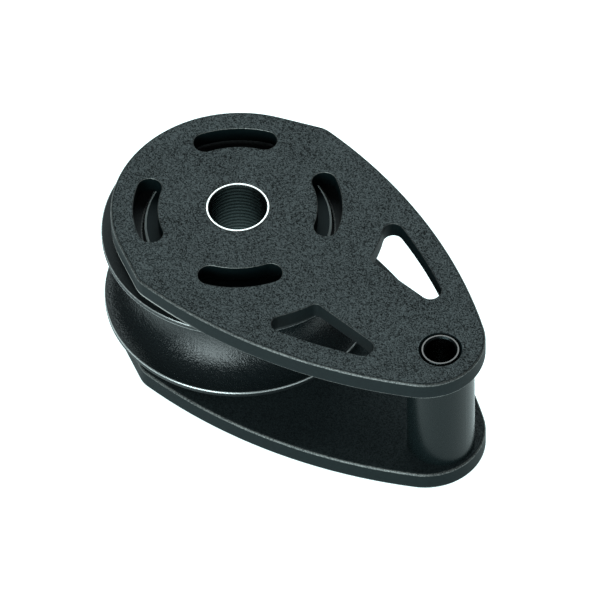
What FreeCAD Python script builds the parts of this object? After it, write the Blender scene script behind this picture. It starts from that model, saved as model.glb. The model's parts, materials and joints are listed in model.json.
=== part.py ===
import FreeCAD, Part
import math
import os

# Deck footblock: one sheave between two teardrop side plates, held down by a
# bolt through the sheave's axle and a bolt through the tail post.
# Frame: origin on the axle's axis at the deck face, +X towards the tail post,
# +Z up from the deck. All sizes are in millimetres and radii are R.

# Block
BLOCK_HEIGHT = 33.6
TAIL_X = 57.0
PLATE_THICKNESS = 4.6
STATIC_CLEARANCE = 0.02

# Side plate outline
HEAD_R = 26.4
SHOULDER_TANGENT_DEG = 114.4
SHOULDER_R = 5.7
FLANK_R = 111.2
FLANK_WIDEST_X = -0.9
PLATE_HALF_WIDTH = 28.3
TAIL_END_X = 65.1
PLATE_EDGE_R = 0.7
CUTOUT_EDGE_R = 0.2
CUTOUT_RELIEF = 0.8
BORE_CHAMFER = 0.2

# Top plate slots, around the axle
SLOT_MEAN_R = 19.15
SLOT_HALF_WIDTH = 2.55
SLOT_HALF_ANGLE_DEG = 18.8
SLOT_COUNT = 4

# Top plate windows, between the sheave and the tail post
WINDOW_HEAD_R = 30.8
WINDOW_INNER_Y = 8.0
WINDOW_FLANK_INSET = 5.2
WINDOW_TAIL_X = 47.0
WINDOW_INNER_CORNER_R = 1.3
WINDOW_OUTER_CORNER_R = 2.1
WINDOW_TAIL_CORNER_R = 2.1

# Axle bush, the thin liner that the head bolt goes through
BUSH_R = 6.63
BUSH_BORE_R = 6.1
BUSH_CHAMFER = 0.12

# Tail post and the tubular rivet through it
POST_R = 7.0
RIVET_R = 3.95
RIVET_BORE_R = 3.2
RIVET_CHAMFER = 0.12
RIVET_FLARE = 0.35
COUNTERSINK_R = 4.5
COUNTERSINK_DEPTH = 0.9

# Sheave
SHEAVE_R = 28.5
GROOVE_ROOT_R = 20.4
GROOVE_HALF_OPENING = 9.25
LIP_THICKNESS = 1.3
LIP_EDGE = 0.18
LIP_CREST_R = 0.4
RECESS_R = 19.95
RECESS_FLOOR_Z = 8.0
RECESS_CHAMFER = 0.3
SHEAVE_BORE_R = 13.0

# Inner race and the sleeve bearing that runs on it
RACE_R = 11.0
SPIGOT_R = 9.0
SLEEVE_CLEARANCE = 0.05
SLEEVE_HALF_LENGTH = 7.7

# Thrust bearing on each side of the sheave
THRUST_RING_R = 19.45
THRUST_RING_THICKNESS = 1.8
THRUST_RING_CHAMFER = 0.45
BALL_R = 1.5875
BALL_TRACK_R = 1.65
BALL_CIRCLE_R = 15.6
BALL_COUNT = 18
CAGE_INNER_R = 13.3
CAGE_OUTER_R = 18.0
CAGE_THICKNESS = 1.2
CAGE_POCKET_CLEARANCE = 0.06

MID_Z = BLOCK_HEIGHT / 2.0
GAP_HALF = MID_Z - PLATE_THICKNESS
RING_UNDERSIDE = GAP_HALF - THRUST_RING_THICKNESS
BALL_PLANE = (RING_UNDERSIDE + RECESS_FLOOR_Z) / 2.0
UP = FreeCAD.Vector(0, 0, 1)
ORIGIN = FreeCAD.Vector(0, 0, 0)

os.makedirs("parts", exist_ok=True)


def export(shape, node):
    """Write one sub-part as a STEP file named after its node."""
    if not shape.isValid():
        raise ValueError(node + " is not a valid solid")
    shape.exportStep("parts/" + node + ".step")


def point(x, y, z=0.0):
    return FreeCAD.Vector(x, y, z)


def polar(radius, degrees):
    angle = math.radians(degrees)
    return point(radius * math.cos(angle), radius * math.sin(angle))


def line(start, end):
    return Part.LineSegment(start, end).toShape()


def arc(start, middle, end):
    return Part.Arc(start, middle, end).toShape()


def solid_from_outline(edges, height):
    """Extrude a closed outline in the XY plane upwards."""
    wire = Part.Wire(edges)
    return Part.Face(wire).extrude(UP * height)


def turned(profile_points):
    """Turn a closed profile of (radius, height) points about the Z axis."""
    corners = [point(radius, 0.0, height) for radius, height in profile_points]
    wire = Part.makePolygon(corners + [corners[0]])
    return Part.Face(wire).revolve(ORIGIN, UP, 360)


def chamfered_tube(outer, inner, low, high, chamfer):
    """A tube along Z whose two outer and two inner rims are chamfered."""
    return turned([
        (inner, low + chamfer),
        (inner + chamfer, low),
        (outer - chamfer, low),
        (outer, low + chamfer),
        (outer, high - chamfer),
        (outer - chamfer, high),
        (inner + chamfer, high),
        (inner, high - chamfer),
    ])


def round_vertical_edges(solid, corners, radius):
    """Round the vertical edges that stand on the given corner points."""
    chosen = []
    for edge in solid.Edges:
        first = edge.Vertexes[0].Point
        last = edge.Vertexes[-1].Point
        if math.hypot(first.x - last.x, first.y - last.y) > 1e-6:
            continue
        for corner in corners:
            if math.hypot(first.x - corner.x, first.y - corner.y) < 1e-4:
                chosen.append(edge)
    return solid.makeFillet(radius, chosen)


def flank_y(x, inset=0.0):
    """Height above the centre line of the long convex flank, moved inwards."""
    centre_y = PLATE_HALF_WIDTH - FLANK_R
    radius = FLANK_R - inset
    return centre_y + math.sqrt(radius ** 2 - (x - FLANK_WIDEST_X) ** 2)


def crossing(difference, low, high):
    """The value between low and high where a rising difference passes zero."""
    for step in range(60):
        middle = (low + high) / 2.0
        if difference(middle) > 0:
            high = middle
        else:
            low = middle
    return (low + high) / 2.0


def shoulder_line_y(x):
    tangent = math.radians(SHOULDER_TANGENT_DEG)
    return (HEAD_R - x * math.cos(tangent)) / math.sin(tangent)


def tail_tangent_point():
    """Where the upper flank runs into the round tail end that touches both flanks."""
    flank_centre = point(FLANK_WIDEST_X, PLATE_HALF_WIDTH - FLANK_R)
    reach = TAIL_END_X - FLANK_WIDEST_X
    tail_end_r = (FLANK_R ** 2 - reach ** 2 - flank_centre.y ** 2) / (2.0 * (FLANK_R - reach))
    towards_tail = point(TAIL_END_X - tail_end_r, 0) - flank_centre
    return flank_centre + towards_tail * (FLANK_R / towards_tail.Length)


def plate_blank():
    """The teardrop: round head, straight shoulders, long flanks, round tail."""
    tangent_point = polar(HEAD_R, SHOULDER_TANGENT_DEG)
    shoulder_x = crossing(lambda x: shoulder_line_y(x) - flank_y(x), tangent_point.x, 5.0)
    shoulder = point(shoulder_x, flank_y(shoulder_x))
    tail = tail_tangent_point()
    flank_middle_x = (shoulder.x + tail.x) / 2.0
    flank_middle = point(flank_middle_x, flank_y(flank_middle_x))

    def other_side(vector):
        return point(vector.x, -vector.y)

    outline = [
        arc(tangent_point, point(-HEAD_R, 0), other_side(tangent_point)),
        line(other_side(tangent_point), other_side(shoulder)),
        arc(other_side(shoulder), other_side(flank_middle), other_side(tail)),
        arc(other_side(tail), point(TAIL_END_X, 0), tail),
        arc(tail, flank_middle, shoulder),
        line(shoulder, tangent_point),
    ]
    blank = solid_from_outline(outline, PLATE_THICKNESS)
    return round_vertical_edges(blank, [shoulder, other_side(shoulder)], SHOULDER_R)


def slot_cutter(middle_deg):
    """One curved slot with full round ends, concentric with the axle."""
    inner = SLOT_MEAN_R - SLOT_HALF_WIDTH
    outer = SLOT_MEAN_R + SLOT_HALF_WIDTH
    start = middle_deg - SLOT_HALF_ANGLE_DEG
    end = middle_deg + SLOT_HALF_ANGLE_DEG
    end_tip = polar(SLOT_MEAN_R, end) + polar(SLOT_HALF_WIDTH, end + 90)
    start_tip = polar(SLOT_MEAN_R, start) + polar(SLOT_HALF_WIDTH, start - 90)
    outline = [
        arc(polar(outer, start), polar(outer, middle_deg), polar(outer, end)),
        arc(polar(outer, end), end_tip, polar(inner, end)),
        arc(polar(inner, end), polar(inner, middle_deg), polar(inner, start)),
        arc(polar(inner, start), start_tip, polar(outer, start)),
    ]
    return solid_from_outline(outline, PLATE_THICKNESS)


def window_cutter(side):
    """The rounded window beside the centre line; side is +1 or -1 for +Y or -Y."""
    def head_gap(x):
        return flank_y(x, WINDOW_FLANK_INSET) - math.sqrt(WINDOW_HEAD_R ** 2 - x ** 2)

    outer_x = crossing(head_gap, 15.0, WINDOW_HEAD_R - 1.0)
    inner_x = math.sqrt(WINDOW_HEAD_R ** 2 - WINDOW_INNER_Y ** 2)
    outer_head = point(outer_x, side * flank_y(outer_x, WINDOW_FLANK_INSET))
    inner_head = point(inner_x, side * WINDOW_INNER_Y)
    inner_tail = point(WINDOW_TAIL_X, side * WINDOW_INNER_Y)
    outer_tail = point(WINDOW_TAIL_X, side * flank_y(WINDOW_TAIL_X, WINDOW_FLANK_INSET))
    flank_middle_x = (outer_x + WINDOW_TAIL_X) / 2.0
    flank_middle = point(flank_middle_x, side * flank_y(flank_middle_x, WINDOW_FLANK_INSET))
    head_middle_deg = (math.degrees(math.atan2(outer_head.y, outer_head.x))
                       + math.degrees(math.atan2(inner_head.y, inner_head.x))) / 2.0
    outline = [
        line(inner_head, inner_tail),
        line(inner_tail, outer_tail),
        arc(outer_tail, flank_middle, outer_head),
        arc(outer_head, polar(WINDOW_HEAD_R, head_middle_deg), inner_head),
    ]
    cutter = solid_from_outline(outline, PLATE_THICKNESS)
    cutter = round_vertical_edges(cutter, [inner_head], WINDOW_INNER_CORNER_R)
    cutter = round_vertical_edges(cutter, [outer_head], WINDOW_OUTER_CORNER_R)
    return round_vertical_edges(cutter, [inner_tail, outer_tail], WINDOW_TAIL_CORNER_R)


def face_rims(solid, height, outer):
    """Edges of the flat face at a height: its outline, or its cut-outs."""
    edges = []
    for face in solid.Faces:
        bounds = face.BoundBox
        if abs(bounds.ZMin - height) > 1e-4 or abs(bounds.ZMax - height) > 1e-4:
            continue
        outline = face.OuterWire
        for wire in face.Wires:
            if wire.isSame(outline) == outer:
                edges.extend(wire.Edges)
    return edges


def side_plate(cutters):
    """One side plate lying on Z = 0, before its bolt holes: cut-outs are relieved underneath."""
    plate = plate_blank()
    for cutter in cutters:
        plate = plate.cut(cutter)
    for height in (0.0, PLATE_THICKNESS):
        plate = plate.makeFillet(PLATE_EDGE_R, face_rims(plate, height, True))
    if cutters:
        plate = plate.makeFillet(CUTOUT_EDGE_R, face_rims(plate, PLATE_THICKNESS, False))
        plate = plate.makeChamfer(CUTOUT_RELIEF, face_rims(plate, 0.0, False))
    return plate


def top_plate_cutters():
    cutters = [window_cutter(1), window_cutter(-1)]
    for index in range(SLOT_COUNT):
        cutters.append(slot_cutter(45.0 + 90.0 * index))
    return cutters


def bolt_hole_cutters(outer_face, inner_face):
    """Cutters for the bush hole and the countersunk rivet hole of one plate."""
    outwards = 1.0 if outer_face > inner_face else -1.0
    bush_hole_r = BUSH_R + STATIC_CLEARANCE
    rivet_hole_r = RIVET_R + STATIC_CLEARANCE
    bush_hole = turned([
        (0, inner_face),
        (bush_hole_r, inner_face),
        (bush_hole_r, outer_face - outwards * BORE_CHAMFER),
        (bush_hole_r + BORE_CHAMFER, outer_face),
        (0, outer_face),
    ])
    rivet_hole = turned([
        (0, inner_face),
        (rivet_hole_r, inner_face),
        (rivet_hole_r, outer_face - outwards * COUNTERSINK_DEPTH),
        (COUNTERSINK_R, outer_face),
        (0, outer_face),
    ])
    rivet_hole.translate(point(TAIL_X, 0))
    return [bush_hole, rivet_hole]


def drilled_plate(plate, outer_face, inner_face):
    plate.translate(point(0, 0, min(outer_face, inner_face)))
    for cutter in bolt_hole_cutters(outer_face, inner_face):
        plate = plate.cut(cutter)
    return plate


def mirrored_up(shape):
    """The same piece on the other side of the block's middle plane."""
    return shape.mirror(point(0, 0, MID_Z), UP)


def ball_track():
    """The ring that the balls roll in, as a cutter, above the middle plane."""
    return Part.makeTorus(BALL_CIRCLE_R, BALL_TRACK_R, point(0, 0, MID_Z + BALL_PLANE), UP)


def sheave():
    """The grooved wheel: two lips, a round rope groove and a bearing recess each side."""
    lip_face = GROOVE_HALF_OPENING + LIP_THICKNESS
    depth = SHEAVE_R - GROOVE_ROOT_R
    groove_r = (GROOVE_HALF_OPENING ** 2 + depth ** 2) / (2.0 * depth)
    bore = SHEAVE_BORE_R + STATIC_CLEARANCE
    upper = [
        (bore, RECESS_FLOOR_Z),
        (RECESS_R, RECESS_FLOOR_Z),
        (RECESS_R, lip_face - RECESS_CHAMFER),
        (RECESS_R + RECESS_CHAMFER, lip_face),
        (SHEAVE_R - LIP_EDGE, lip_face),
        (SHEAVE_R, lip_face - LIP_EDGE),
    ]
    lower = [(radius, -height) for radius, height in reversed(upper)]
    wheel = turned([(radius, MID_Z + height) for radius, height in upper + lower])
    groove = Part.makeTorus(GROOVE_ROOT_R + groove_r, groove_r, point(0, 0, MID_Z), UP)
    wheel = wheel.cut(groove)
    lip_edges = []
    for edge in wheel.Edges:
        on_rim = abs(edge.BoundBox.XMax - SHEAVE_R) < 0.01
        at_groove = abs(abs(edge.BoundBox.ZMax - MID_Z) - GROOVE_HALF_OPENING) < 0.01
        if on_rim and at_groove and edge.BoundBox.ZLength < 0.01:
            lip_edges.append(edge)
    wheel = wheel.makeFillet(LIP_CREST_R, lip_edges)
    track = ball_track()
    return wheel.cut(track).cut(mirrored_up(track))


def axle_bush():
    """The steel liner of the head bolt hole, square-ended on the deck side."""
    return turned([
        (BUSH_BORE_R, 0.0),
        (BUSH_R - BUSH_CHAMFER, 0.0),
        (BUSH_R, BUSH_CHAMFER),
        (BUSH_R, BLOCK_HEIGHT - BUSH_CHAMFER),
        (BUSH_R - BUSH_CHAMFER, BLOCK_HEIGHT),
        (BUSH_BORE_R + BUSH_CHAMFER, BLOCK_HEIGHT),
        (BUSH_BORE_R, BLOCK_HEIGHT - BUSH_CHAMFER),
    ])


def tail_post():
    """The round spacer between the plates, bored for the rivet."""
    bottom = point(TAIL_X, 0, PLATE_THICKNESS)
    post = Part.makeCylinder(POST_R, 2 * GAP_HALF, bottom, UP)
    bore = Part.makeCylinder(RIVET_R + STATIC_CLEARANCE, 2 * GAP_HALF, bottom, UP)
    return post.cut(bore)


def tail_rivet():
    """The tubular rivet that lines the tail bolt hole, flared at both ends."""
    rivet = turned([
        (RIVET_BORE_R, RIVET_FLARE),
        (RIVET_BORE_R + RIVET_FLARE, 0.0),
        (RIVET_R - RIVET_CHAMFER, 0.0),
        (RIVET_R, RIVET_CHAMFER),
        (RIVET_R, BLOCK_HEIGHT - RIVET_CHAMFER),
        (RIVET_R - RIVET_CHAMFER, BLOCK_HEIGHT),
        (RIVET_BORE_R + RIVET_FLARE, BLOCK_HEIGHT),
        (RIVET_BORE_R, BLOCK_HEIGHT - RIVET_FLARE),
    ])
    rivet.translate(point(TAIL_X, 0))
    return rivet


def inner_race():
    """The fixed race around the bush, with a spigot at each end for a thrust ring."""
    bore = BUSH_R + STATIC_CLEARANCE
    return turned([
        (bore, MID_Z - GAP_HALF),
        (SPIGOT_R, MID_Z - GAP_HALF),
        (SPIGOT_R, MID_Z - RING_UNDERSIDE),
        (RACE_R, MID_Z - RING_UNDERSIDE),
        (RACE_R, MID_Z + RING_UNDERSIDE),
        (SPIGOT_R, MID_Z + RING_UNDERSIDE),
        (SPIGOT_R, MID_Z + GAP_HALF),
        (bore, MID_Z + GAP_HALF),
    ])


def bearing_sleeve():
    return chamfered_tube(SHEAVE_BORE_R, RACE_R + SLEEVE_CLEARANCE, MID_Z - SLEEVE_HALF_LENGTH,
                          MID_Z + SLEEVE_HALF_LENGTH, 0.3)


def upper_thrust_ring():
    """The fixed ring over the balls, clamped between the race's shoulder and the plate."""
    inner = SPIGOT_R + STATIC_CLEARANCE
    ring = turned([
        (inner, MID_Z + RING_UNDERSIDE),
        (THRUST_RING_R, MID_Z + RING_UNDERSIDE),
        (THRUST_RING_R, MID_Z + GAP_HALF - THRUST_RING_CHAMFER),
        (THRUST_RING_R - THRUST_RING_CHAMFER, MID_Z + GAP_HALF),
        (inner, MID_Z + GAP_HALF),
    ])
    return ring.cut(ball_track())


def ball_places():
    """Centres of the balls above the middle plane, evenly spaced round the track."""
    places = []
    for index in range(BALL_COUNT):
        flat = polar(BALL_CIRCLE_R, 360.0 * index / BALL_COUNT)
        places.append(point(flat.x, flat.y, MID_Z + BALL_PLANE))
    return places


def upper_ball_cage():
    """The flat ring that spaces the balls, with one round pocket for each."""
    low = MID_Z + BALL_PLANE - CAGE_THICKNESS / 2.0
    cage = chamfered_tube(CAGE_OUTER_R, CAGE_INNER_R, low, low + CAGE_THICKNESS, 0.15)
    pocket_r = BALL_R + CAGE_POCKET_CLEARANCE
    for place in ball_places():
        pocket = Part.makeCylinder(pocket_r, CAGE_THICKNESS, point(place.x, place.y, low), UP)
        cage = cage.cut(pocket)
    return cage


top_low = BLOCK_HEIGHT - PLATE_THICKNESS
export(drilled_plate(side_plate([]), 0.0, PLATE_THICKNESS), "base_plate")
export(drilled_plate(side_plate(top_plate_cutters()), BLOCK_HEIGHT, top_low), "top_plate")
export(tail_post(), "tail_post")

export(tail_rivet(), "tail_rivet")

export(axle_bush(), "axle_bush")
export(inner_race(), "inner_race")
export(bearing_sleeve(), "bearing_sleeve")
export(sheave(), "sheave")

thrust_ring = upper_thrust_ring()
export(thrust_ring, "upper_thrust_ring")
export(mirrored_up(thrust_ring), "lower_thrust_ring")

cage = upper_ball_cage()
export(cage, "upper_ball_cage")
export(mirrored_up(cage), "lower_ball_cage")

for number, place in enumerate(ball_places(), start=1):
    ball = Part.makeSphere(BALL_R, place)
    export(ball, "upper_ball_%02d" % number)
    export(mirrored_up(ball), "lower_ball_%02d" % number)
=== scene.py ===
import json
import math

import bpy
from mathutils import Matrix, Vector


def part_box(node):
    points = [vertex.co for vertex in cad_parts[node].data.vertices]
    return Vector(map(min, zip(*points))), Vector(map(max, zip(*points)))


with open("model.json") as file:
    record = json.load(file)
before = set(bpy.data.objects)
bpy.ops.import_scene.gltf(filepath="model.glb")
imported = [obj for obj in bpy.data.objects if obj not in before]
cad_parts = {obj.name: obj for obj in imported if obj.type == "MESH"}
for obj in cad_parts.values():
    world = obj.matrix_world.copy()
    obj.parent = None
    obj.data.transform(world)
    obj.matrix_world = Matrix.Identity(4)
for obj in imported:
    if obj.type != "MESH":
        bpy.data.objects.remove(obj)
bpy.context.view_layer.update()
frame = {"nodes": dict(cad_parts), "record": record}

MM = 0.001

# ------------------------------------------------------------------ sizes
top_low, top_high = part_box("top_plate")
sheave_low, sheave_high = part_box("sheave")
rivet_low, rivet_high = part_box("tail_rivet")

BLOCK_CENTRE = Vector((0.02, 0, top_high.z / 2))

# The materials work in millimetres, with radii from the axle or from the rivet.
TOP_PLATE_UNDERSIDE = top_low.z / MM
TAIL_X = (rivet_low.x + rivet_high.x) / 2 / MM
SHEAVE_R = -sheave_low.x / MM
SHEAVE_RECESS_R = 20.25
INSIDE_SLOTS_R = 14.0
CLEAR_OF_SLOTS_R = 22.0
# Radii over which the painted highlight line round the head fades out.
HEAD_HIGHLIGHT_R = 28.0
HEAD_HIGHLIGHT_END_R = 31.5
COUNTERSINK_R = 4.5


# ------------------------------------------------------------------ node helpers
class Nodes:
    """A short way to build one material's node tree, with places and sizes in millimetres."""

    def __init__(self, name):
        self.material = bpy.data.materials.new(name)
        self.material.use_nodes = True
        self.tree = self.material.node_tree
        self.tree.nodes.clear()
        self.output = self.tree.nodes.new("ShaderNodeOutputMaterial")
        self.shader = self.tree.nodes.new("ShaderNodeBsdfPrincipled")
        self.link(self.shader.outputs[0], self.output.inputs[0])
        coordinates = self.tree.nodes.new("ShaderNodeTexCoord")
        self.place = self.in_millimetres(coordinates.outputs["Object"])
        self.normal = coordinates.outputs["Normal"]

    def link(self, source, target):
        self.tree.links.new(source, target)

    def in_millimetres(self, vector):
        node = self.tree.nodes.new("ShaderNodeVectorMath")
        node.operation = "SCALE"
        node.inputs["Scale"].default_value = 1 / MM
        self.link(vector, node.inputs[0])
        return node.outputs[0]

    def noise(self, per_mm, detail=2.0, roughness=0.5, stretch=None):
        """Soft noise in space, squeezed along an axis where stretch is given."""
        node = self.tree.nodes.new("ShaderNodeTexNoise")
        node.inputs["Scale"].default_value = per_mm
        node.inputs["Detail"].default_value = detail
        node.inputs["Roughness"].default_value = roughness
        vector = self.place
        if stretch is not None:
            mapping = self.tree.nodes.new("ShaderNodeMapping")
            mapping.inputs["Scale"].default_value = stretch
            self.link(vector, mapping.inputs["Vector"])
            vector = mapping.outputs[0]
        self.link(vector, node.inputs["Vector"])
        return node.outputs["Fac"]

    def polar_noise(self, radial_per_mm, height_per_mm, detail=2.0):
        """Noise that is the same all the way round the Z axis, for turned marks."""
        combined = self.tree.nodes.new("ShaderNodeCombineXYZ")
        self.link(self.math("MULTIPLY", self.radius(), radial_per_mm), combined.inputs[0])
        self.link(self.math("MULTIPLY", self.height(), height_per_mm), combined.inputs[1])
        node = self.tree.nodes.new("ShaderNodeTexNoise")
        node.inputs["Scale"].default_value = 1.0
        node.inputs["Detail"].default_value = detail
        self.link(combined.outputs[0], node.inputs["Vector"])
        return node.outputs["Fac"]

    def height(self):
        """Height above the deck in millimetres."""
        parts = self.tree.nodes.new("ShaderNodeSeparateXYZ")
        self.link(self.place, parts.inputs[0])
        return parts.outputs[2]

    def cells(self, per_mm):
        """A random value for each tiny grain of a blasted surface."""
        node = self.tree.nodes.new("ShaderNodeTexVoronoi")
        node.inputs["Scale"].default_value = per_mm
        self.link(self.place, node.inputs["Vector"])
        parts = self.tree.nodes.new("ShaderNodeSeparateXYZ")
        self.link(node.outputs["Color"], parts.inputs[0])
        return parts.outputs[0]

    def radius(self, centre_x=0.0):
        """Distance in millimetres from the axle's axis, or from an upright axis further along X."""
        level = self.tree.nodes.new("ShaderNodeVectorMath")
        level.operation = "MULTIPLY_ADD"
        level.inputs[1].default_value = (1.0, 1.0, 0.0)
        level.inputs[2].default_value = (-centre_x, 0.0, 0.0)
        self.link(self.place, level.inputs[0])
        length = self.tree.nodes.new("ShaderNodeVectorMath")
        length.operation = "LENGTH"
        self.link(level.outputs[0], length.inputs[0])
        return length.outputs["Value"]

    def turning_ridges(self, pitch_mm):
        """Tool ridges one pitch apart down the Z axis, 0 in a valley and 1 on a crest."""
        turns = self.math("MULTIPLY", self.height(), 2 * math.pi / pitch_mm)
        return self.spread(self.math("SINE", turns), -1.0, 1.0)

    def math(self, operation, first, second=None):
        """One arithmetic step between two values, each a number or another node's output."""
        node = self.tree.nodes.new("ShaderNodeMath")
        node.operation = operation
        for socket, value in zip(node.inputs, (first, second)):
            if value is None:
                continue
            if isinstance(value, (int, float)):
                socket.default_value = value
            else:
                self.link(value, socket)
        return node.outputs[0]

    def spread(self, value, low, high, to_low=0.0, to_high=1.0, smooth=False):
        """Take a value's range from low to high onto another range, clamped at both ends."""
        node = self.tree.nodes.new("ShaderNodeMapRange")
        if smooth:
            node.interpolation_type = "SMOOTHSTEP"
        node.inputs["From Min"].default_value = low
        node.inputs["From Max"].default_value = high
        node.inputs["To Min"].default_value = to_low
        node.inputs["To Max"].default_value = to_high
        self.link(value, node.inputs["Value"])
        return node.outputs["Result"]

    def mix(self, factor, first, second):
        """Blend two colours, each an RGB tuple or another node's output."""
        node = self.tree.nodes.new("ShaderNodeMix")
        node.data_type = "RGBA"
        self.link(factor, node.inputs[0])
        for socket, value in ((node.inputs[6], first), (node.inputs[7], second)):
            if isinstance(value, tuple):
                socket.default_value = (*value, 1.0)
            else:
                self.link(value, socket)
        return node.outputs[2]

    def bump(self, height, strength, distance_mm, below=None):
        """A bumped normal, laid over another bump where one is given."""
        node = self.tree.nodes.new("ShaderNodeBump")
        node.inputs["Distance"].default_value = distance_mm * MM
        if isinstance(strength, (int, float)):
            node.inputs["Strength"].default_value = strength
        else:
            self.link(strength, node.inputs["Strength"])
        self.link(height, node.inputs["Height"])
        if below is not None:
            self.link(below, node.inputs["Normal"])
        return node.outputs[0]

    def flatness(self):
        """1 on faces that lie level, 0 on upright walls."""
        parts = self.tree.nodes.new("ShaderNodeSeparateXYZ")
        self.link(self.normal, parts.inputs[0])
        return self.math("ABSOLUTE", parts.outputs[2])

    def corner(self, flatness):
        """1 on slanted edge breaks, 0 on level faces and upright walls."""
        return self.math("MULTIPLY", self.spread(flatness, 0.10, 0.35, smooth=True),
                         self.spread(flatness, 0.84, 0.95, 1.0, 0.0, smooth=True))

    def set(self, socket, value):
        """Give a shader socket a fixed value or another node's output."""
        if isinstance(value, (int, float, tuple)):
            self.shader.inputs[socket].default_value = value
        else:
            self.link(value, self.shader.inputs[socket])


# ------------------------------------------------------------------ materials
def anodised_plate(name, specular, dark_grain, light_grain, highlight_edge_height=None):
    """Hard-anodised plate: fine matte grain on its faces, smooth walls, edges painted brighter as worn
    metal and as a painted highlight.

    The last argument is the height of the lower edge that gets a painted highlight line round the head.
    """
    n = Nodes(name)
    flatness = n.flatness()
    face = n.spread(flatness, 0.93, 0.995, smooth=True)
    clear_of_rivet = n.spread(n.radius(TAIL_X), COUNTERSINK_R, COUNTERSINK_R + 0.15)
    # Slanted edge breaks get a brighter, more metallic colour: partly wear, partly a painted highlight.
    wear_and_highlight = n.math("MULTIPLY", n.corner(flatness), clear_of_rivet)
    grain = n.noise(4.5, detail=1.5, roughness=0.6)
    speckle = n.spread(n.cells(4.6), 0.06, 0.94)
    cloud = n.spread(n.noise(0.12, detail=2.0), 0.3, 0.7)
    tone = n.math("ADD", n.math("MULTIPLY", speckle, 0.85), n.math("MULTIPLY", cloud, 0.15))
    face_colour = n.mix(tone, dark_grain, light_grain)
    wall_colour = n.mix(n.noise(1.2, detail=2.0), (0.000, 0.003, 0.004), (0.003, 0.009, 0.010))
    # Painted highlight colours for the edge breaks, brighter round the slots than on the outer edges.
    outer_edge = n.mix(speckle, (0.05, 0.055, 0.055), (0.16, 0.165, 0.16))
    slot_edge = n.mix(speckle, (0.10, 0.11, 0.105), (0.26, 0.27, 0.26))
    outside_slots = n.spread(n.radius(), CLEAR_OF_SLOTS_R, CLEAR_OF_SLOTS_R + 2.0)
    inside_slots = n.spread(n.radius(), INSIDE_SLOTS_R, INSIDE_SLOTS_R + 1.0, 1.0, 0.0)
    bare_highlight_colour = n.mix(n.math("MAXIMUM", outside_slots, inside_slots), slot_edge, outer_edge)
    colour = n.mix(wear_and_highlight, n.mix(face, wall_colour, face_colour), bare_highlight_colour)
    # A painted highlight: a light line along the bottom of the upright walls round the head.
    if highlight_edge_height is not None:
        low = n.spread(n.height(), highlight_edge_height + 0.75, highlight_edge_height + 1.00, 1.0, 0.0)
        upright = n.spread(flatness, 0.5, 0.7, 1.0, 0.0)
        head_end = n.spread(n.radius(), HEAD_HIGHLIGHT_R, HEAD_HIGHLIGHT_END_R, 1.0, 0.0, smooth=True)
        low_wall = n.math("MULTIPLY", low, upright)
        painted_highlight = n.math("MULTIPLY", low_wall, n.math("MULTIPLY", outside_slots, head_end))
        colour = n.mix(painted_highlight, colour, (0.28, 0.28, 0.27))
    n.set("Base Color", colour)
    n.set("Metallic", n.math("MULTIPLY", wear_and_highlight, 0.85))
    wall_roughness = n.spread(wear_and_highlight, 0.0, 1.0, 0.60, 0.50)
    face_roughness = n.spread(speckle, 0.0, 1.0, 0.16, -0.34)
    n.set("Roughness", n.math("ADD", wall_roughness, n.math("MULTIPLY", face, face_roughness)))
    n.set("Specular IOR Level", specular)
    n.set("Normal", n.bump(grain, n.spread(face, 0.0, 1.0, 0.15, 1.0), 0.09))
    return n.material


def anodised_post():
    """Satin black anodising over a turned post."""
    n = Nodes("post_anodised")
    fine = n.noise(4.0, detail=2.0)
    n.set("Base Color", n.mix(fine, (0.003, 0.006, 0.006), (0.007, 0.011, 0.012)))
    n.set("Roughness", n.spread(fine, 0.3, 0.7, 0.24, 0.32))
    n.set("Specular IOR Level", 0.13)
    n.set("Normal", n.bump(fine, 0.12, 0.02))
    return n.material


def anodised_sheave():
    """Near-black anodising over turned metal, painted bright along the lip crests as wear and a painted
    highlight, and along the recess edges as a painted highlight.
    """
    n = Nodes("sheave_anodised")
    rings = n.polar_noise(6.0, 6.0)
    tooth = n.noise(2.6, detail=2.0, roughness=0.6)
    dents = n.noise(0.7, detail=2.0)
    radius = n.radius()
    flatness = n.flatness()
    corner = n.corner(flatness)
    # Lip crests and recess edges get bright metal: painted highlight lines, with wear on the crests.
    rim = n.spread(radius, SHEAVE_R - 0.30, SHEAVE_R - 0.10, smooth=True)
    recess = n.spread(radius, SHEAVE_RECESS_R, SHEAVE_RECESS_R + 0.15, 1.0, 0.0, smooth=True)
    wear_and_highlight = n.math("MULTIPLY", corner, n.math("MAXIMUM", rim, recess))
    black = n.mix(tooth, (0.002, 0.005, 0.006), (0.009, 0.013, 0.014))
    bare_highlight_metal = n.mix(tooth, (0.30, 0.32, 0.32), (0.65, 0.67, 0.66))
    n.set("Base Color", n.mix(wear_and_highlight, black, bare_highlight_metal))
    n.set("Metallic", n.math("MULTIPLY", wear_and_highlight, 0.55))
    level_face = n.spread(flatness, 0.97, 0.999, 0.0, 0.40)
    upright_rim = n.math("MULTIPLY", rim, n.spread(flatness, 0.10, 0.30, 0.35, 0.0))
    matte = n.math("ADD", level_face, upright_rim)
    n.set("Roughness", n.math("ADD", matte, n.spread(tooth, 0.3, 0.7, 0.20, 0.30)))
    n.set("Specular IOR Level", 0.44)
    inside_rim = n.spread(radius, SHEAVE_R - 0.7, SHEAVE_R - 0.4, 1.0, 0.0)
    turned = n.bump(rings, 0.25, 0.05)
    dented = n.bump(dents, inside_rim, 0.07, turned)
    n.set("Normal", n.bump(tooth, inside_rim, 0.10, dented))
    return n.material


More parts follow.
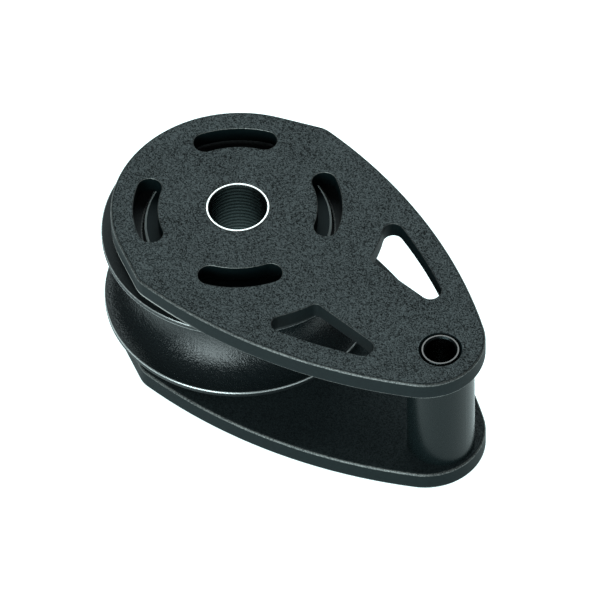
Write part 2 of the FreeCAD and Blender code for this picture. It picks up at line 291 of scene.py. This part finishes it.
def turned_steel():
    """Bright turned stainless steel, its upright walls painted dark as shade inside the bore."""
    n = Nodes("bush_steel")
    rings = n.polar_noise(8.0, 4.0)
    end_face = n.spread(n.flatness(), 0.5, 0.7)
    bright = n.mix(rings, (0.62, 0.64, 0.63), (0.80, 0.81, 0.80))
    # Upright walls get a dark colour: painted shade inside the bore.
    painted_wall_shade = n.mix(rings, (0.11, 0.135, 0.135), (0.17, 0.20, 0.20))
    n.set("Base Color", n.mix(end_face, painted_wall_shade, bright))
    n.set("Metallic", 1.0)
    n.set("Roughness", n.spread(rings, 0.3, 0.7, 0.20, 0.32))
    n.set("Normal", n.bump(n.turning_ridges(1.0), 0.5, 0.04))
    return n.material


def blackened_rivet():
    """Black oxide, the flat rim painted grey metal as a highlight."""
    n = Nodes("rivet_black")
    fine = n.noise(3.0, detail=2.0)
    # The flat rim gets a lighter grey: a painted highlight.
    rim = n.spread(n.flatness(), 0.90, 0.99, smooth=True)
    black = n.mix(fine, (0.016, 0.024, 0.026), (0.050, 0.062, 0.064))
    painted_highlight = n.mix(fine, (0.078, 0.072, 0.070), (0.120, 0.112, 0.110))
    n.set("Base Color", n.mix(rim, black, painted_highlight))
    n.set("Metallic", 1.0)
    n.set("Roughness", n.spread(fine, 0.3, 0.7, 0.22, 0.34))
    n.set("Normal", n.bump(fine, 0.3, 0.06))
    return n.material


def anodised_race():
    """Black anodised rings with turning marks, their chamfers painted bare metal as wear and as a painted
    highlight.
    """
    n = Nodes("race_anodised")
    rings = n.polar_noise(9.0, 9.0)
    # Chamfers painted bright metal: painted highlight lines.
    wear_and_highlight = n.corner(n.flatness())
    black = n.mix(rings, (0.002, 0.006, 0.007), (0.016, 0.026, 0.028))
    bare_highlight_metal = n.mix(rings, (0.25, 0.27, 0.27), (0.50, 0.52, 0.51))
    n.set("Base Color", n.mix(wear_and_highlight, black, bare_highlight_metal))
    n.set("Metallic", n.math("MULTIPLY", wear_and_highlight, 0.8))
    n.set("Roughness", n.spread(rings, 0.3, 0.7, 0.40, 0.55))
    n.set("Specular IOR Level", 0.06)
    n.set("Normal", n.bump(rings, 0.3, 0.05))
    return n.material


def composite_sleeve():
    """Wound fibre in resin, brown, with the winding just visible."""
    n = Nodes("sleeve_composite")
    winding = n.noise(1.5, detail=3.0, stretch=(1.0, 1.0, 8.0))
    n.set("Base Color", n.mix(winding, (0.10, 0.065, 0.035), (0.24, 0.17, 0.11)))
    n.set("Roughness", n.spread(winding, 0.3, 0.7, 0.45, 0.65))
    n.set("Normal", n.bump(winding, 0.3, 0.05))
    return n.material


def cage_plastic():
    """Moulded black acetal."""
    n = Nodes("cage_plastic")
    fine = n.noise(3.0, detail=2.0)
    n.set("Base Color", n.mix(fine, (0.010, 0.010, 0.011), (0.024, 0.024, 0.026)))
    n.set("Roughness", n.spread(fine, 0.3, 0.7, 0.40, 0.55))
    n.set("Normal", n.bump(fine, 0.2, 0.02))
    return n.material


def ball_plastic():
    """Ground off-white acetal, slightly translucent."""
    n = Nodes("ball_plastic")
    fine = n.noise(1.5, detail=2.0)
    n.set("Base Color", n.mix(fine, (0.66, 0.65, 0.60), (0.80, 0.79, 0.75)))
    n.set("Roughness", n.spread(fine, 0.3, 0.7, 0.25, 0.35))
    n.set("Subsurface Weight", 0.1)
    n.set("Subsurface Radius", (0.001, 0.001, 0.001))
    return n.material


MATERIALS = {
    "side_plate_anodised": anodised_plate("side_plate_anodised", 0.14, (0.000, 0.001, 0.001),
                                          (0.098, 0.116, 0.119), highlight_edge_height=TOP_PLATE_UNDERSIDE),
    "post_anodised": anodised_post(),
    "sheave_anodised": anodised_sheave(),
    "bush_steel": turned_steel(),
    "rivet_black": blackened_rivet(),
    "race_anodised": anodised_race(),
    "sleeve_composite": composite_sleeve(),
    "cage_plastic": cage_plastic(),
    "ball_plastic": ball_plastic(),
}


def dress(node_name, material):
    """Put one material on every face of a CAD node."""
    for material_slot in frame["nodes"][node_name].material_slots:
        material_slot.material = material


for subpart in frame["record"]["subparts"]:
    dress(subpart["node"], MATERIALS[subpart["material_slot"]])
# The base plate gets a darker, duller copy of the plate finish: painted shade for its place under the top
# plate.
dress("base_plate",
      anodised_plate("base_plate_painted_shade", 0.12, (0.007, 0.011, 0.012), (0.026, 0.035, 0.037)))


# ------------------------------------------------------------------ floor and light
FLOOR_SIZE = 8.0
FLOOR_GAP = 0.0001
LIGHT_DISTANCE = 1.6
LIGHT_COLOUR = (0.84, 1.0, 1.02)

# Name, azimuth and elevation in degrees, width and height in metres, power in watts
SOFT_LIGHTS = (
    ("back_softbox", -136, 50, 1.3, 1.3, 15.0),
    ("front_softbox", 16, 17, 1.2, 0.85, 24.0),
    ("side_fill", 80, 12, 0.9, 0.6, 1.9),
)


def studio_floor():
    """A plain pale sweep, a little self-lit so that it stays even like a light table."""
    mesh = bpy.data.meshes.new("floor")
    half = FLOOR_SIZE / 2
    corners = [(x, y, -FLOOR_GAP) for x, y in ((-half, -half), (half, -half), (half, half), (-half, half))]
    mesh.from_pydata(corners, [], [(0, 1, 2, 3)])
    floor = bpy.data.objects.new("floor", mesh)
    bpy.context.scene.collection.objects.link(floor)
    n = Nodes("floor_paper")
    tone = n.noise(0.02, detail=1.0)
    n.set("Base Color", n.mix(tone, (0.46, 0.50, 0.50), (0.48, 0.52, 0.52)))
    n.set("Roughness", 0.2)
    n.set("Specular IOR Level", 1.0)
    n.set("Emission Color", (0.82, 0.99, 1.0, 1.0))
    n.set("Emission Strength", 1.18)
    mesh.materials.append(n.material)


def direction(azimuth, elevation):
    """Unit vector from the object towards a light or camera at this bearing."""
    a = math.radians(azimuth)
    e = math.radians(elevation)
    return Vector((math.sin(a) * math.cos(e), -math.cos(a) * math.cos(e), math.sin(e)))


def soft_light(name, azimuth, elevation, width, height, power):
    """A rectangular soft box that faces the block."""
    data = bpy.data.lights.new(name, "AREA")
    data.shape = "RECTANGLE"
    data.size = width
    data.size_y = height
    data.energy = power
    data.color = LIGHT_COLOUR
    light = bpy.data.objects.new(name, data)
    bpy.context.scene.collection.objects.link(light)
    towards = direction(azimuth, elevation)
    light.location = BLOCK_CENTRE + towards * LIGHT_DISTANCE
    light.rotation_mode = "QUATERNION"
    light.rotation_quaternion = towards.to_track_quat("Z", "Y")


def studio():
    """A dim even surround and three soft boxes."""
    world = bpy.data.worlds.new("studio")
    bpy.context.scene.world = world
    world.use_nodes = True
    world.node_tree.nodes["Background"].inputs["Color"].default_value = (1.0, 1.0, 1.0, 1.0)
    world.node_tree.nodes["Background"].inputs["Strength"].default_value = 0.08
    for soft_box in SOFT_LIGHTS:
        soft_light(*soft_box)
    bpy.context.scene.view_settings.view_transform = "Standard"


studio_floor()
studio()


# ------------------------------------------------------------------ camera
# Angles in degrees, lens in millimetres, the rest in metres. The camera looks past the axle's
# top, CAMERA_RIGHT and CAMERA_DOWN away from it across the picture.
CAMERA_AZIMUTH = 44.319
CAMERA_ELEVATION = 49.832
CAMERA_ROLL = -1.513
CAMERA_DISTANCE = 1.8395
CAMERA_LENS = 533.0
CAMERA_RIGHT = 0.01291
CAMERA_DOWN = 0.01933
AIM_HEIGHT = 0.0337


def studio_camera():
    """Looks down on the block from the tail's right, from 1.8 m with a long lens."""
    back = direction(CAMERA_AZIMUTH, CAMERA_ELEVATION)
    level_right = Vector((0, 0, 1)).cross(back).normalized()
    level_up = back.cross(level_right)
    roll = math.radians(CAMERA_ROLL)
    right = math.cos(roll) * level_right + math.sin(roll) * level_up
    up = math.cos(roll) * level_up - math.sin(roll) * level_right
    axle_top = Vector((0, 0, AIM_HEIGHT))
    data = bpy.data.cameras.new("camera")
    data.sensor_width = 36.0
    data.lens = CAMERA_LENS
    data.clip_start = 0.05
    data.clip_end = 50.0
    camera = bpy.data.objects.new("camera", data)
    bpy.context.scene.collection.objects.link(camera)
    across = right * CAMERA_RIGHT - up * CAMERA_DOWN
    camera.location = axle_top + across + back * CAMERA_DISTANCE
    camera.rotation_mode = "QUATERNION"
    turn = [[right.x, up.x, back.x], [right.y, up.y, back.y], [right.z, up.z, back.z]]
    camera.rotation_quaternion = Matrix(turn).to_quaternion()
    bpy.context.scene.camera = camera


studio_camera()
